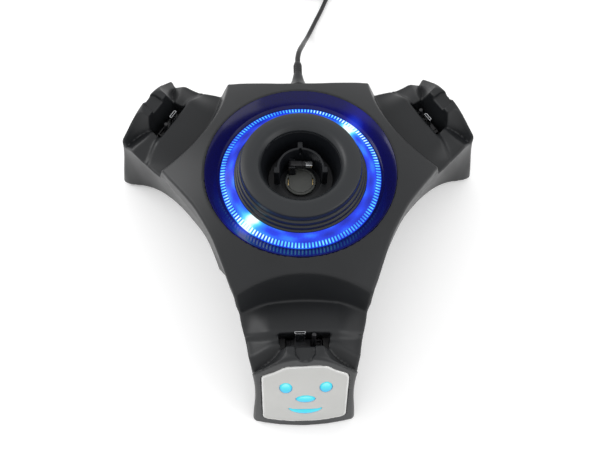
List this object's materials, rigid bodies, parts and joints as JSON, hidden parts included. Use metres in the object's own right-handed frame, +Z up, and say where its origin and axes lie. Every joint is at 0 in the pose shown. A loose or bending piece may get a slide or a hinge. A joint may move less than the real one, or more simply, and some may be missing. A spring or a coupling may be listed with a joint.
{
  "type": "controller charging dock",
  "caption": "Three-armed charging dock for game controllers: domed deck, stepped round hub with a deep socket, blue light ring, indicator plate and USB lead.",
  "frame": {"origin": "on the surface that the dock stands on, under the middle of its overall box", "axes": "+Z up, -Y towards the front arm with the indicator plate, +Y towards the lead"},
  "size_m": [0.2978, 0.4679, 0.1017],
  "materials": {
    "shell": "fine satin texture",
    "dish": "gloss",
    "base_plastic": "matte",
    "foot_rubber": "matte",
    "steel": "machined",
    "hub_plastic": "fine satin texture",
    "cup_plastic": "satin",
    "puck_plastic": "satin",
    "contact_metal": "plated",
    "dark_plastic": "satin",
    "plated_metal": "bright plating",
    "ring_lens": "clear ribbed, lit blue",
    "board": "solder mask",
    "lamp": "clear",
    "component": "moulded",
    "wire": "insulated",
    "plate_paint": "silver paint, satin",
    "window_lens": "clear, lit cyan",
    "cord_rubber": "satin",
    "plug_insulator": "moulded"
  },
  "bodies": {
    "dock": {"top_shell": "shell", "dish_bezel": "dish", "bottom_cover": "base_plastic", "rubber_feet": "foot_rubber", "cover_screws": "steel", "hub_collar": "hub_plastic", "hub_cup": "cup_plastic", "contact_puck": "puck_plastic", "contact_blades": "contact_metal", "hub_hinge_pin": "steel", "light_ring": "ring_lens", "ring_board": "board", "ring_lamps": "lamp", "main_board": "board", "main_board_parts": "component", "board_screws": "steel", "inner_wires": "wire", "front_plug_bracket": "dark_plastic", "right_plug_bracket": "dark_plastic", "left_plug_bracket": "dark_plastic", "front_plug_board": "board", "right_plug_board": "board", "left_plug_board": "board", "bracket_screws": "steel", "indicator_plate": "plate_paint", "indicator_windows": "window_lens", "indicator_board": "board", "indicator_lamps": "lamp", "cord_spout": "shell", "cord_boot": "cord_rubber", "cord_clamp": "dark_plastic", "power_cord": "cord_rubber", "cord_coil": "cord_rubber", "cord_tail": "cord_rubber", "cord_tie": "dark_plastic", "usb_plug_grip": "cord_rubber", "usb_plug_shell": "plated_metal", "usb_plug_tongue": "plug_insulator"},
    "front_plug": {"front_plug_carrier": "dark_plastic", "front_plug_shell": "plated_metal", "front_plug_tongue": "dark_plastic"},
    "right_plug": {"right_plug_carrier": "dark_plastic", "right_plug_shell": "plated_metal", "right_plug_tongue": "dark_plastic"},
    "left_plug": {"left_plug_carrier": "dark_plastic", "left_plug_shell": "plated_metal", "left_plug_tongue": "dark_plastic"},
    "hub_plug": {"hub_plug_carrier": "dark_plastic", "hub_plug_shell": "plated_metal"}
  },
  "joints": [
    {"name": "front_plug_rock", "type": "hinge", "parent": "dock", "child": "front_plug", "pos_m": [0, -0.0903, 0.0568], "axis": [1, 0, 0], "range_deg": [-3, 3], "stiffness_Nm_per_rad": 0.05},
    {"name": "right_plug_rock", "type": "hinge", "parent": "dock", "child": "right_plug", "pos_m": [0.09977, 0.0825, 0.0568], "axis": [-0.5, 0.866, 0], "range_deg": [-3, 3], "stiffness_Nm_per_rad": 0.05},
    {"name": "left_plug_rock", "type": "hinge", "parent": "dock", "child": "left_plug", "pos_m": [-0.09977, 0.0825, 0.0568], "axis": [-0.5, -0.866, 0], "range_deg": [-3, 3], "stiffness_Nm_per_rad": 0.05},
    {"name": "hub_plug_fold", "type": "hinge", "parent": "dock", "child": "hub_plug", "pos_m": [-0.006, 0.0341, 0.082], "axis": [0, -1, 0], "range_deg": [0, 80]}
  ]
}
